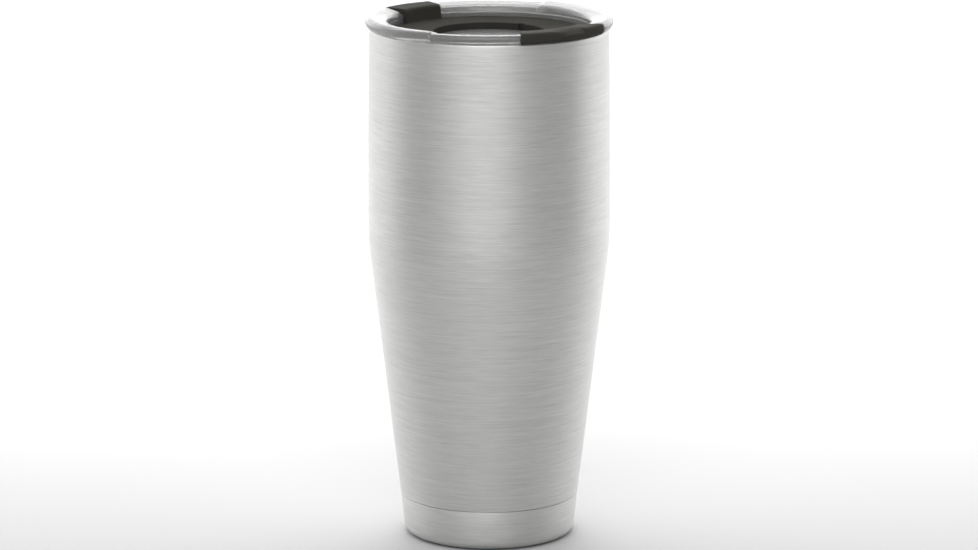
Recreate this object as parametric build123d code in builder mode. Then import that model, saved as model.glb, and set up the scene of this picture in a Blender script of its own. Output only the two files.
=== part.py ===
from build123d import *
import os
from math import cos, radians, sin, sqrt, tan

os.makedirs("parts", exist_ok=True)

# Insulated tumbler with a press-in lid whose dark deck twists to open the drinking port.
# Millimetres.  Origin at the centre of the base, +Z up, +X towards the drinking tab.

# --- driving dimensions: steel cup ------------------------------------------------------
rim_z = 203.3             # top face of the steel lip
rim_r = 47.05             # outside of the steel lip
widest_z = 125.0          # widest ring of the cup
widest_r = 47.84
taper_top_z = 108.9       # straight cone starts here and runs down to the base
taper_top_r = 46.6
seam_z = 16.4             # joint between the shell and the base cup
seam_r = 35.33
base_r = 34.0             # cup radius above its bottom fillet
base_fillet = 3.2
pad_proud = 0.5           # how far the foot pad stands below the steel
shell_wall = 0.5
liner_wall = 0.4
lip_wall = 0.8            # rolled lip on which the lid rests
vacuum_gap = 2.8          # between shell and liner over the body
mouth_r = 45.0            # inside of the liner at the mouth
seal_land_z = 184.0       # the liner is near cylindrical above this height
seal_land_r = 44.7
liner_floor_z = 13.0
sleeve_step = 1.2         # the shell steps in by this much inside the base cup
sleeve_draft = 0.9        # and narrows by this much down to its foot
seam_gap = 0.25           # half the height of the groove seen at the seam
vacuum_bottom_z = 6.5

# --- driving dimensions: lid --------------------------------------------------------------
bead_r = 46.1             # centre circle of the rounded clear rim
bead_z = 205.5
bead_size = 2.4           # radius of the rim's rounded section
bead_start_deg = -66.4    # where the rounded section meets the plane of the steel lip
crown_deg = 13.0          # the rim's top falls inwards at this slope
crown_fillet = 2.6        # from the top into the pocket's wall
pocket_r = 39.4           # pocket in which the deck turns
pocket_wall = 1.6
channel_r = 43.8          # moulding channel in the rim's underside
channel_width = 1.4
channel_height = 1.6
track_size = 1.7          # radius of the rim's rounded section where the tabs run
track_start_deg = -58.0
running_gap = 0.3
lid_floor_top = 196.6
lid_floor_wall = 3.0
plug_r = 43.6             # outside of the plug wall inside the cup
plug_wall = 2.0
plug_bottom_z = 184.5
gasket_z = 186.0          # bottom of the gasket groove
gasket_height = 6.0
gasket_groove = 1.2
gasket_r = 44.35          # tip of the gasket lips

# --- driving dimensions: twisting deck and valve --------------------------------------------
deck_z = 202.0            # top of the deck
deck_r = 39.0
deck_wall = 1.8
well_r = 21.8             # round well in the middle of the deck
well_z = 199.4            # top of the clear hub seen in the well
twist_travel = 42.0       # degrees, clockwise from above
drink_tab_half = 25.8     # half angle of the drinking tab, centred on +X
thumb_tab_half = 14.7
thumb_tab_centre = 185.3
thumb_track_first = 111.5 # the thumb tab's track is longer than the travel needs
track_slack = 0.6         # degrees left at each end of the tab tracks
tab_r = 48.8              # outside of the tabs
tab_top_z = 208.0
tab_inner_corner = 1.6    # rounding between a tab's top and its inner wall
drink_top_fall = 1.6      # the drinking tab's top drops by this much towards the deck
drink_corner = 1.6        # rounding of its outer corner
thumb_top_fall = 0.35
thumb_corner = 2.6
tab_hem_r = 47.7          # lowest edge, just over the steel lip
tab_hem_z = 203.5
tab_hem_rise = 1.1        # from the hem up to the full outside
tab_start_deg = -56.0     # where the hollow round the rim starts
tab_wall_foot_r = 37.4    # inner face of the tab's wall, at the deck and at its top
tab_wall_top_r = 38.1
tab_root_r = 36.6         # inner edge of the tongue that is bonded into the deck
tongue_depth = 1.0
port_circle_r = 29.0      # drink port and vent lie on this radius
port_r = 4.6
vent_r = 1.5
shaft_r = 5.5
shaft_bottom_z = 177.0
valve_z = 189.6           # underside of the valve plate
valve_wall = 1.6
valve_travel = 4.0
seal_clear = 0.1          # between the closed seals and the lid floor
collar_r = 8.6
cam_pin_z = 187.0
cam_pin_r = 0.9
spring_mean_r = 10.2
spring_wire_r = 0.45

# --- derived dimensions -------------------------------------------------------------------------
lid_floor_bottom = lid_floor_top - lid_floor_wall
hub_bottom_z = lid_floor_top + running_gap
seal_height = lid_floor_bottom - valve_z - valve_wall - seal_clear
port_azimuth = -twist_travel
vent_azimuth = 180 - twist_travel


def radial_plane(azimuth):
    """Vertical plane through the axis: its x runs outwards at this azimuth, its y runs up."""
    a = radians(azimuth)
    return Plane((0, 0, 0), x_dir=(cos(a), sin(a), 0), z_dir=(sin(a), -cos(a), 0))


def on_circle(radius, angle, centre=(0, 0)):
    """Point on a circle, angle in degrees from the first axis."""
    a = radians(angle)
    return (centre[0] + radius * cos(a), centre[1] + radius * sin(a))


def write(part, name):
    part.label = name
    export_step(part, f"parts/{name}.step")


def body_edges(inset, low_z, high_z):
    """Draw the cup's flowing outline, moved inwards by inset, from low_z up to high_z."""
    slope = (taper_top_r - seam_r) / (taper_top_z - seam_z)
    low_r = seam_r + slope * (low_z - seam_z) - inset
    top_r = rim_r + (widest_r - rim_r) * (1 - ((high_z - widest_z) / (rim_z - widest_z)) ** 2)
    cone = Line((low_r, low_z), (taper_top_r - inset, taper_top_z))
    shoulder = Spline(cone @ 1, (widest_r - inset, widest_z), tangents=[(slope, 1), (0, 1)])
    TangentArc(shoulder @ 1, (top_r - inset, high_z), tangent=(0, 1))
    return (low_r, low_z), (top_r - inset, high_z)


# === steel cup ====================================================================================

# Outer shell: drawn skin with an inward lip at the mouth and a stepped-in sleeve at the foot.
sleeve_r = seam_r - sleeve_step
sleeve_foot_r = sleeve_r - sleeve_draft
sleeve_bend = 1.4         # height of the shell's step into the sleeve
lip_inner_r = mouth_r + liner_wall
lip_fillet = 0.4
with BuildPart() as outer_shell:
    with BuildSketch(Plane.XZ):
        with BuildLine():
            outer_low, outer_top = body_edges(0, seam_z + seam_gap, rim_z)
            inner_low, inner_top = body_edges(shell_wall, seam_z + sleeve_bend, rim_z - lip_wall)
            Polyline(outer_top, (lip_inner_r, rim_z), (lip_inner_r, rim_z - lip_wall), inner_top)
            Polyline(outer_low, (sleeve_r, seam_z + seam_gap), (sleeve_foot_r, vacuum_bottom_z),
                     (sleeve_foot_r - shell_wall, vacuum_bottom_z),
                     (sleeve_r - shell_wall, seam_z + 2 * seam_gap), inner_low)
        make_face()
    revolve(axis=Axis.Z)
    top_circles = outer_shell.edges().filter_by(GeomType.CIRCLE).group_by(Axis.Z)[-1]
    fillet(top_circles.sort_by(SortBy.RADIUS)[-1], lip_fillet)
write(outer_shell.part, "outer_shell")

# Inner liner: the cup that holds the drink, open at the top.
liner_inset = shell_wall + vacuum_gap + liner_wall
liner_corner = 8.0
neck_height = 12.0        # the liner narrows to the seal land over this height
with BuildPart() as inner_liner:
    with BuildSketch(Plane.XZ):
        with BuildLine():
            slope = (taper_top_r - seam_r) / (taper_top_z - seam_z)
            low = (seam_r + slope * (liner_floor_z + liner_corner - seam_z) - liner_inset,
                   liner_floor_z + liner_corner)
            cone = Line(low, (taper_top_r - liner_inset, taper_top_z))
            shoulder = Spline(cone @ 1, (widest_r - liner_inset, widest_z), tangents=[(slope, 1), (0, 1)])
            belly = Line(shoulder @ 1, (widest_r - liner_inset, seal_land_z - neck_height))
            neck = Spline(belly @ 1, (seal_land_r, seal_land_z), tangents=[(0, 1), (0, 1)])
            Line(neck @ 1, (mouth_r, rim_z))
            Line((mouth_r, rim_z), (0, rim_z))
            Line((0, rim_z), (0, liner_floor_z))
            Line((0, liner_floor_z), (low[0] - liner_corner, liner_floor_z))
            TangentArc((low[0] - liner_corner, liner_floor_z), low, tangent=(1, 0))
        make_face()
    revolve(axis=Axis.Z)
    mouth_face = inner_liner.faces().sort_by(Axis.Z)[-1]
    offset(amount=liner_wall, openings=mouth_face)
write(inner_liner.part, "inner_liner")

# Radiation foil: copper wrap round the liner inside the vacuum.
foil_gap = 0.5
foil_wall = 0.1
foil_low_z = 40.0
foil_top_z = 165.0
foil_inset = liner_inset - liner_wall - foil_gap
with BuildPart() as radiation_foil:
    with BuildSketch(Plane.XZ):
        with BuildLine():
            near_low, near_top = body_edges(foil_inset, foil_low_z, foil_top_z)
            far_low, far_top = body_edges(foil_inset - foil_wall, foil_low_z, foil_top_z)
            Line(near_low, far_low)
            Line(near_top, far_top)
        make_face()
    revolve(axis=Axis.Z)
write(radiation_foil.part, "radiation_foil")

# Vacuum bottom: pressed plate that closes the sleeve, with the dimple of the pump-out hole.
bottom_r = sleeve_foot_r - shell_wall
dimple_r = 6.0
dimple_height = 1.2
pump_hole_r = 1.0
with BuildPart() as vacuum_bottom:
    with BuildSketch(Plane.XY.offset(vacuum_bottom_z)):
        Circle(bottom_r)
    extrude(amount=shell_wall)
    with BuildSketch(Plane.XY.offset(vacuum_bottom_z + shell_wall)):
        Circle(dimple_r)
    extrude(amount=dimple_height)
    with BuildSketch(Plane.XY.offset(vacuum_bottom_z)):
        Circle(dimple_r - shell_wall)
    extrude(amount=dimple_height, mode=Mode.SUBTRACT)
    Hole(radius=pump_hole_r)
write(vacuum_bottom.part, "vacuum_bottom")

# Evacuation seal: glass bead that fills the dimple over the pump-out hole.
glass_r = 3.2
glass_fillet = 0.8
with BuildPart() as evacuation_seal:
    with BuildSketch(Plane.XY.offset(vacuum_bottom_z)):
        Circle(glass_r)
    extrude(amount=dimple_height)
    fillet(evacuation_seal.edges().sort_by(Axis.Z)[0], glass_fillet)
write(evacuation_seal.part, "evacuation_seal")

# Getter: tablet welded inside the vacuum, which keeps it hard.
getter_offset = 17.0
getter_r = 5.0
getter_height = 1.6
getter_chamfer = 0.4
with BuildPart() as getter:
    with BuildSketch(Plane.XY.offset(vacuum_bottom_z + shell_wall)):
        with Locations((getter_offset, 0)):
            Circle(getter_r)
    extrude(amount=getter_height)
    chamfer(getter.edges().sort_by(Axis.Z)[-1], getter_chamfer)
write(getter.part, "getter")

# Base cup: pressed steel cap over the sleeve, below the visible seam, dished for the foot pad.
cup_wall = 0.8
pad_r = 28.0
pad_height = 2.1
pad_fillet = 0.4
seam_step = 0.05          # the cap stands this much inside the shell at the seam
with BuildPart() as base_cup:
    with BuildSketch(Plane.XZ):
        with BuildLine():
            seam_lip = (seam_r - seam_step, seam_z - seam_gap)
            foot = (base_r, pad_proud + base_fillet)
            foot_end = (base_r - base_fillet, pad_proud)
            Line(seam_lip, foot)
            TangentArc(foot, foot_end, tangent=(-0.1, -1))
            Polyline(foot_end, (pad_r, pad_proud), (pad_r, pad_height), (0, pad_height),
                     (0, pad_height + cup_wall), (pad_r + cup_wall, pad_height + cup_wall),
                     (pad_r + cup_wall, pad_proud + cup_wall), (foot_end[0], pad_proud + cup_wall),
                     (base_r - cup_wall, foot[1]), (sleeve_foot_r, vacuum_bottom_z),
                     (sleeve_r, seam_z - seam_gap), seam_lip)
        make_face()
    revolve(axis=Axis.Z)
write(base_cup.part, "base_cup")

# Foot pad: non-slip silicone disc let into the base cup.
with BuildPart() as foot_pad:
    with BuildSketch(Plane.XY):
        Circle(pad_r)
    extrude(amount=pad_height)
    fillet(foot_pad.edges().sort_by(Axis.Z)[0], pad_fillet)
write(foot_pad.part, "foot_pad")

# === lid: clear rim, base and gasket ==============================================================


def saddle(size, centre, slope_angle, foot_r, start_deg):
    """Rounded bead with its straight slope down to foot_r; returns both ends."""
    first = on_circle(size, start_deg, centre)
    middle = on_circle(size, (start_deg + 90 + slope_angle) / 2, centre)
    brow = on_circle(size, 90 + slope_angle, centre)
    foot = (foot_r, brow[1] - (brow[0] - foot_r) * tan(radians(slope_angle)))
    ThreePointArc(first, middle, brow)
    Line(brow, foot)
    return first, foot


bead_centre = (bead_r, bead_z)
channel_outer_r = channel_r + channel_width
channel_top_z = rim_z + channel_height
cutter_margin = 4.0       # the track cutter reaches this far beyond the bead's centre
cutter_foot_r = pocket_r - 0.5
drink_track = (-drink_tab_half - twist_travel - track_slack, drink_tab_half + track_slack)
thumb_track = (thumb_track_first, thumb_tab_centre + thumb_tab_half + track_slack)

# Clear rim: rounded bead on the steel lip, crown, and the wall of the deck's pocket.
with BuildPart() as lid_rim:
    with BuildSketch(Plane.XZ) as rim_profile:
        with BuildLine():
            bead_low, crown_foot = saddle(bead_size, bead_centre, crown_deg, pocket_r, bead_start_deg)
            Polyline(crown_foot, (pocket_r, lid_floor_top), (pocket_r + pocket_wall, lid_floor_top),
                     (pocket_r + pocket_wall, rim_z), (channel_r, rim_z), (channel_r, channel_top_z),
                     (channel_outer_r, channel_top_z), (channel_outer_r, rim_z), (bead_low[0], rim_z),
                     bead_low)
        make_face()
        crown_corner = rim_profile.vertices().sort_by_distance(crown_foot)[0]
        fillet(crown_corner, crown_fillet)
    revolve(axis=Axis.Z)
    for first_deg, last_deg in (drink_track, thumb_track):
        with BuildSketch(radial_plane(first_deg)):
            with BuildLine():
                low, foot = saddle(track_size, bead_centre, crown_deg, cutter_foot_r, track_start_deg)
                Polyline(low, (low[0], rim_z), (bead_r + cutter_margin, rim_z),
                         (bead_r + cutter_margin, bead_z + cutter_margin),
                         (cutter_foot_r, bead_z + cutter_margin), foot)
            make_face()
        revolve(axis=Axis.Z, revolution_arc=last_deg - first_deg, mode=Mode.SUBTRACT)
write(lid_rim.part, "lid_rim")

# Lid base: plug wall inside the mouth, with the gasket groove outside and a seat for the floor.
seat_width = 1.2          # ledge on which the floor is welded
floor_r = plug_r - plug_wall - seat_width
gasket_top_z = gasket_z + gasket_height
groove_r = plug_r - gasket_groove
with BuildPart() as lid_base:
    with BuildSketch(Plane.XZ):
        with BuildLine():
            Polyline((floor_r, plug_bottom_z), (plug_r, plug_bottom_z), (plug_r, gasket_z),
                     (groove_r, gasket_z), (groove_r, gasket_top_z), (plug_r, gasket_top_z),
                     (plug_r, rim_z), (plug_r - plug_wall, rim_z), (plug_r - plug_wall, lid_floor_top),
                     (floor_r, lid_floor_top), (floor_r, plug_bottom_z))
        make_face()
    revolve(axis=Axis.Z)
write(lid_base.part, "lid_base")

# Lid floor: disc with the drink port, the vent, the hub's bore and two guide posts for the valve.
guide_azimuth = port_azimuth + 90
guide_r = 1.6
guide_length = 10.0
guide_circle_r = port_circle_r + 1
guide_places = [on_circle(guide_circle_r, guide_azimuth + turn) for turn in (0, 180)]
bore_clear = 0.1          # between the hub's shaft and the bore
with BuildPart() as lid_floor:
    with BuildSketch(Plane.XY.offset(lid_floor_top)):
        Circle(floor_r)
        Circle(shaft_r + bore_clear, mode=Mode.SUBTRACT)
        with Locations(on_circle(port_circle_r, port_azimuth)):
            Circle(port_r, mode=Mode.SUBTRACT)
        with Locations(on_circle(port_circle_r, vent_azimuth)):
            Circle(vent_r, mode=Mode.SUBTRACT)
    extrude(amount=-lid_floor_wall)
    with BuildSketch(Plane.XY.offset(lid_floor_bottom)):
        with Locations(*guide_places):
            Circle(guide_r)
    extrude(amount=-guide_length)
write(lid_floor.part, "lid_floor")

# Lid gasket: silicone band with two lips, in the groove of the plug wall.
lip_pitch = gasket_height / 2
lip_root_r = plug_r - 0.1
lip_first = 0.6           # foot of the first lip above the groove's bottom
lip_rise = 1.4            # from the foot of a lip to its tip
lip_height = 1.8
tip_height = 0.5
with BuildPart() as lid_gasket:
    with BuildSketch(Plane.XZ):
        with Locations((plug_r - gasket_groove / 2, gasket_z + gasket_height / 2)):
            Rectangle(gasket_groove, gasket_height)
        for lip in range(2):
            lip_z = gasket_z + lip * lip_pitch + lip_first
            tip_z = lip_z + lip_rise
            with BuildLine():
                Polyline((lip_root_r, lip_z), (gasket_r, tip_z), (gasket_r, tip_z + tip_height),
                         (lip_root_r, lip_z + lip_height), (lip_root_r, lip_z))
            make_face()
    revolve(axis=Axis.Z)
write(lid_gasket.part, "lid_gasket")

# === twisting deck ================================================================================

hub_flange_r = 25.4
hub_flange_z = well_z - 1.0
deck_skirt = 2.4
deck_ring_wall = 1.6
groove_top_z = 200.4      # groove of the deck's O-ring
groove_bottom_z = 198.8
groove_depth = 1.3
chimney_wall = 1.2
slot_length = 13.0
slot_width = 6.4
slot_centre_r = port_circle_r - 0.3
tab_tongues = ((drink_tab_half, 0), (thumb_tab_half, thumb_tab_centre))
tongue_z = deck_z - tongue_depth

# Twist deck: dark annular plate with skirts, the drinking slot and its chimney.
with BuildPart() as twist_deck:
    with BuildSketch(Plane.XZ):
        with BuildLine():
            Polyline((well_r, deck_z), (deck_r, deck_z), (deck_r, groove_top_z),
                     (deck_r - groove_depth, groove_top_z), (deck_r - groove_depth, groove_bottom_z),
                     (deck_r, groove_bottom_z), (deck_r, hub_bottom_z), (deck_r - deck_skirt, hub_bottom_z),
                     (deck_r - deck_skirt, deck_z - deck_wall),
                     (well_r + deck_ring_wall, deck_z - deck_wall), (well_r + deck_ring_wall, hub_flange_z),
                     (well_r, hub_flange_z), (well_r, deck_z))
        make_face()
    revolve(axis=Axis.Z)
    with BuildSketch(Plane.XY.offset(deck_z - deck_wall)):
        with Locations((slot_centre_r, 0)):
            SlotOverall(slot_length + 2 * chimney_wall, slot_width + 2 * chimney_wall, rotation=90)
    extrude(amount=-(deck_z - deck_wall - hub_flange_z))
    with BuildSketch(Plane.XY.offset(deck_z)):
        with Locations((slot_centre_r, 0)):
            SlotOverall(slot_length, slot_width, rotation=90)
    extrude(amount=-(deck_z - hub_bottom_z), mode=Mode.SUBTRACT)
    for half_angle, centre_deg in tab_tongues:
        with BuildSketch(radial_plane(centre_deg - half_angle)):
            with BuildLine():
                Polyline((tab_root_r, tongue_z), (deck_r + 1, tongue_z), (deck_r + 1, deck_z + 1),
                         (tab_root_r, deck_z + 1), (tab_root_r, tongue_z))
            make_face()
        revolve(axis=Axis.Z, revolution_arc=2 * half_angle, mode=Mode.SUBTRACT)
write(twist_deck.part, "twist_deck")


def tab_section(top_fall, outer_corner):
    """A tab's section: hem, outside, top, inner wall, tongue and the hollow round the rim."""
    outside = (tab_r, tab_top_z)
    inside = (tab_wall_top_r, tab_top_z - top_fall)
    with BuildSketch(mode=Mode.PRIVATE) as section:
        with BuildLine():
            hollow_low, hollow_foot = saddle(track_size + running_gap, bead_centre, crown_deg, deck_r,
                                             tab_start_deg)
            Polyline(hollow_low, (tab_hem_r, tab_hem_z), (tab_r, tab_hem_z + tab_hem_rise), outside, inside,
                     (tab_wall_foot_r, deck_z), (tab_root_r, deck_z), (tab_root_r, tongue_z),
                     (deck_r, tongue_z), hollow_foot)
        make_face()
        fillet(section.vertices().sort_by_distance(outside)[0], outer_corner)
        fillet(section.vertices().sort_by_distance(inside)[0], tab_inner_corner)
    return section.sketch


# Drinking tab: soft lip over the clear rim, dished at its outer corner where the lips rest.
scoop_r = 45.0
scoop_depth = 0.5         # at the corner, measured on its bisector
scoop_shift = (scoop_r - scoop_depth - drink_corner * (sqrt(2) - 1)) / sqrt(2)
with BuildPart() as drink_tab:
    with BuildSketch(radial_plane(-drink_tab_half)):
        add(tab_section(drink_top_fall, drink_corner))
    revolve(axis=Axis.Z, revolution_arc=2 * drink_tab_half)
    with Locations((tab_r + scoop_shift, 0, tab_top_z + scoop_shift)):
        Sphere(scoop_r, mode=Mode.SUBTRACT)
write(drink_tab.part, "drink_tab")

# Thumb tab: the narrower grip on the far side.
with BuildPart() as thumb_tab:
    with BuildSketch(radial_plane(thumb_tab_centre - thumb_tab_half)):
        add(tab_section(thumb_top_fall, thumb_corner))
    revolve(axis=Axis.Z, revolution_arc=2 * thumb_tab_half)
write(thumb_tab.part, "thumb_tab")

# Deck seal: O-ring in the groove of the deck's outer skirt.
deck_o_ring_r = 0.65
with BuildPart() as deck_o_ring:
    with BuildSketch(Plane.XZ):
        with Locations((deck_r - groove_depth + deck_o_ring_r, (groove_top_z + groove_bottom_z) / 2)):
            Circle(deck_o_ring_r)
    revolve(axis=Axis.Z)
write(deck_o_ring.part, "deck_o_ring")

# Twist hub: clear disc in the well, with the shaft and its cam pins.
o_ring_z = 195.0
o_ring_r = 0.55
o_ring_seat_r = shaft_r - 2 * o_ring_r
o_ring_groove = 0.7       # half the groove's height
cam_pin_end_r = collar_r - 0.4
pilot_r = 1.5             # screw hole up the shaft
pilot_depth = 8.0
with BuildPart() as twist_hub:
    with BuildSketch(Plane.XZ):
        with BuildLine():
            Polyline((0, well_z), (well_r, well_z), (well_r, hub_flange_z), (hub_flange_r, hub_flange_z),
                     (hub_flange_r, hub_bottom_z), (shaft_r, hub_bottom_z),
                     (shaft_r, o_ring_z + o_ring_groove), (o_ring_seat_r, o_ring_z + o_ring_groove),
                     (o_ring_seat_r, o_ring_z - o_ring_groove), (shaft_r, o_ring_z - o_ring_groove),
                     (shaft_r, shaft_bottom_z), (0, shaft_bottom_z), (0, well_z))
        make_face()
    revolve(axis=Axis.Z)
    with BuildSketch(Plane.YZ):
        with Locations((0, cam_pin_z)):
            Circle(cam_pin_r)
    extrude(amount=cam_pin_end_r, both=True)
    with BuildSketch(Plane.XY.offset(shaft_bottom_z)):
        Circle(pilot_r)
    extrude(amount=pilot_depth, mode=Mode.SUBTRACT)
write(twist_hub.part, "twist_hub")

# Hub seal: O-ring that keeps the drink below the lid floor.
with BuildPart() as hub_o_ring:
    with BuildSketch(Plane.XZ):
        with Locations((shaft_r - o_ring_r, o_ring_z)):
            Circle(o_ring_r)
    revolve(axis=Axis.Z)
write(hub_o_ring.part, "hub_o_ring")

# Spring washer and screw that hold the hub down.
washer_r = 12.0
washer_wall = 1.0
washer_z = shaft_bottom_z - washer_wall
with BuildPart() as hub_washer:
    with BuildSketch(Plane.XY.offset(washer_z)):
        Circle(washer_r)
        Circle(pilot_r + bore_clear, mode=Mode.SUBTRACT)
    extrude(amount=washer_wall)
write(hub_washer.part, "hub_washer")

head_r = 3.2
head_height = 1.8
head_fillet = 0.7
cross_length = 3.6
cross_width = 0.8
cross_depth = 1.0
with BuildPart() as hub_screw:
    with BuildSketch(Plane.XY.offset(washer_z)):
        Circle(pilot_r)
    extrude(amount=pilot_depth)
    with BuildSketch(Plane.XY.offset(washer_z)):
        Circle(head_r)
    extrude(amount=-head_height)
    fillet(hub_screw.edges().sort_by(Axis.Z)[0], head_fillet)
    with BuildSketch(Plane.XY.offset(washer_z - head_height)):
        Rectangle(cross_length, cross_width)
        Rectangle(cross_width, cross_length)
    extrude(amount=cross_depth, mode=Mode.SUBTRACT)
write(hub_screw.part, "hub_screw")

# === valve under the lid floor ====================================================================

# Valve plate: keyed on the guide posts; its collar's helical slots ride on the hub's cam pins.
port_arm_width = 13.0
arm_width = 9.0
arm_widths = ((port_azimuth, port_arm_width), (vent_azimuth, arm_width),
              (guide_azimuth, arm_width), (guide_azimuth + 180, arm_width))
arm_length = port_circle_r + 12
collar_top_z = lid_floor_bottom - 0.4
collar_foot_z = cam_pin_z - 2.2
collar_clear = 0.15       # between the shaft and the collar's bore
slot_clear = 0.2
slot_steps = 14
with BuildPart() as valve_plate:
    with BuildSketch(Plane.XY.offset(valve_z)):
        Circle(collar_r)
        for azimuth, width in arm_widths:
            with Locations(on_circle(port_circle_r / 2, azimuth)):
                SlotOverall(arm_length, width, rotation=azimuth)
        with Locations(*guide_places):
            Circle(guide_r + running_gap, mode=Mode.SUBTRACT)
    extrude(amount=valve_wall)
    with BuildSketch(Plane.XY.offset(valve_z + valve_wall)):
        Circle(collar_r)
    extrude(amount=collar_top_z - valve_z - valve_wall)
    with BuildSketch(Plane.XY.offset(valve_z)):
        Circle(collar_r)
    extrude(amount=collar_foot_z - valve_z)
    with BuildSketch(Plane.XY.offset(collar_foot_z)):
        Circle(shaft_r + collar_clear)
    extrude(amount=collar_top_z - collar_foot_z, mode=Mode.SUBTRACT)
    for side in (0, 180):
        for step in range(slot_steps + 1):
            share = step / slot_steps
            with BuildSketch(radial_plane(side + 90 - share * twist_travel)):
                with Locations((0, cam_pin_z + share * valve_travel)):
                    Circle(cam_pin_r + slot_clear)
            extrude(amount=-(collar_r + 1), mode=Mode.SUBTRACT)
write(valve_plate.part, "valve_plate")

# Valve seals: silicone pads that close the drink port and the vent from below.
drink_seal_r = port_r + 1.6
plug_tip_r = port_r - 0.6
plug_tip_height = 1.0
plug_tip_taper = 20.0
vent_seal_r = vent_r + 2.0
with BuildPart() as drink_seal:
    with BuildSketch(Plane.XY.offset(valve_z + valve_wall)):
        with Locations(on_circle(port_circle_r, port_azimuth)):
            Circle(drink_seal_r)
    extrude(amount=seal_height)
    with BuildSketch(Plane.XY.offset(valve_z + valve_wall + seal_height)):
        with Locations(on_circle(port_circle_r, port_azimuth)):
            Circle(plug_tip_r)
    extrude(amount=plug_tip_height, taper=plug_tip_taper)
write(drink_seal.part, "drink_seal")

with BuildPart() as vent_seal:
    with BuildSketch(Plane.XY.offset(valve_z + valve_wall)):
        with Locations(on_circle(port_circle_r, vent_azimuth)):
            Circle(vent_seal_r)
    extrude(amount=seal_height)
write(vent_seal.part, "vent_seal")

# Valve spring: pushes the valve plate up against the lid floor.
spring_height = valve_z - shaft_bottom_z - 2 * spring_wire_r
spring_turns = 4
with BuildPart() as valve_spring:
    with BuildLine():
        coil = Helix(pitch=spring_height / spring_turns, height=spring_height, radius=spring_mean_r,
                     center=(0, 0, shaft_bottom_z + spring_wire_r))
    with BuildSketch(Plane(coil @ 0, z_dir=coil % 0)):
        Circle(spring_wire_r)
    sweep(is_frenet=True)
write(valve_spring.part, "valve_spring")
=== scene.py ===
from math import atan2, ceil, cos, degrees, pi, radians, sin, sqrt, tan

import bmesh
import bpy
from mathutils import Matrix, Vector


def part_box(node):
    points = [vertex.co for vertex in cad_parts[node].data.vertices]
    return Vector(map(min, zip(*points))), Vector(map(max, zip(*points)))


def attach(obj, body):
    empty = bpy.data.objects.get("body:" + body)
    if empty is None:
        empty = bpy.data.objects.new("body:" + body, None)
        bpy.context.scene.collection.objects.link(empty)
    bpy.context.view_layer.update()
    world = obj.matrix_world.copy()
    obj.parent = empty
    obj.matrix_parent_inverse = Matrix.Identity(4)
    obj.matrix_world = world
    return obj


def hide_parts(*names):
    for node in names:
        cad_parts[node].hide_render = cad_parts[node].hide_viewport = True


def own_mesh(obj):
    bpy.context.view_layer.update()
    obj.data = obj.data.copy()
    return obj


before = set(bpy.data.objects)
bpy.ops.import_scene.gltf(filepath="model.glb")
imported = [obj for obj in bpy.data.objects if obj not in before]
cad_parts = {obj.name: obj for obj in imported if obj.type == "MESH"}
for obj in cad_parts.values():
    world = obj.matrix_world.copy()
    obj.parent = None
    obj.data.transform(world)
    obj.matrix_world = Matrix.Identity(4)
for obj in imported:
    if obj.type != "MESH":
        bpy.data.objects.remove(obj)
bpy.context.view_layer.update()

# Looks of an insulated tumbler around its CAD frame.  Metres; outlines are given in millimetres as
# (radius, height) and turned about Z.  +X is the drinking tab's direction, as in the frame.
MM = 0.001
ROUND = 288                # segments in a full turn
AXIS_R = 0.01              # radius that stands for a point on the axis
PAST = 1.0                 # how far a cutting tool goes past the surfaces that it cuts
MERGE = 0.002              # vertices nearer to each other than this are joined
SHARP = 40                 # edges with a larger angle than this stay sharp, degrees
OUTLINE_STEP, HIDDEN_STEP = 2.5, 4     # distance between points on the cup's seen and hidden outlines


def top_of(node):
    """Height of a node's top, in millimetres."""
    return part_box(node)[1].z / MM


def bottom_of(node):
    """Height of a node's underside, in millimetres."""
    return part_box(node)[0].z / MM


# --- cup, in millimetres, from the frame where it gives them --------------------------------------
RIM_Z = top_of("outer_shell")          # steel lip
RIM_R = 47.05
WIDEST_Z, WIDEST_R = 125.0, 47.82
TAPER_TOP_Z, TAPER_TOP_R = 108.9, 46.6
SEAM_Z, SEAM_R = top_of("base_cup") + 0.25, 35.33
SEAM_GAP = 0.05                        # half the groove that is seen at the seam
SHELL_EDGE = (0.1, 0.12)               # in and up: break of the shell's edge at the seam
CAP_EDGE = ((0.16, 0), (0.07, 0.07), (0.05, 0.2))  # in and down: points of the cap's edge at the seam
TAPER = (TAPER_TOP_R - SEAM_R) / (TAPER_TOP_Z - SEAM_Z)
SHELL_WALL = 0.5
SLEEVE_R, SLEEVE_LEAN = SEAM_R - 1.2, 0.9    # foot of the shell, hidden inside the base cup
SLEEVE_JOIN = 1.4                      # its inside meets the shell's inside this far above the seam
SLEEVE_LOW_Z = bottom_of("outer_shell")
BASE_R, BASE_FILLET, BASE_WALL = 34.0, 3.2, 0.8
BASE_LOW_Z = bottom_of("base_cup")
BASE_INNER_Z = 6.5                     # where the cap's inside meets the sleeve
PAD_R, PAD_SEAT_Z, PAD_GAP, PAD_ROUND = 28.0, 2.1, 0.05, 0.45
MOUTH_R = 45.0
LIP_ROUND, LIP_START, LIP_DEPTH = 0.45, 12, 0.5    # radius, degrees where it starts, height of the roll
LIP_INNER_R, LIP_FOLD, LIP_JOIN = MOUTH_R + 0.4, 0.8, 0.9   # hidden inner edge, its depth, the wall's top
MOUTH_EDGE = (0.2, 0.3)                # outwards and down, from the mouth to the top of the lip
LINER_R, LINER_WALL, LINER_FILLET = WIDEST_R - 3.7, 0.38, 8
LINER_FLOOR_Z = 13.0
LAND_Z, LAND_R = 184.0, 44.7           # above this the gasket seals against the liner
LAND_FLARE = ((0, 12), (0.05, 10), (0.23, 2.5))    # out from the liner's wall, down from the land

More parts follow.
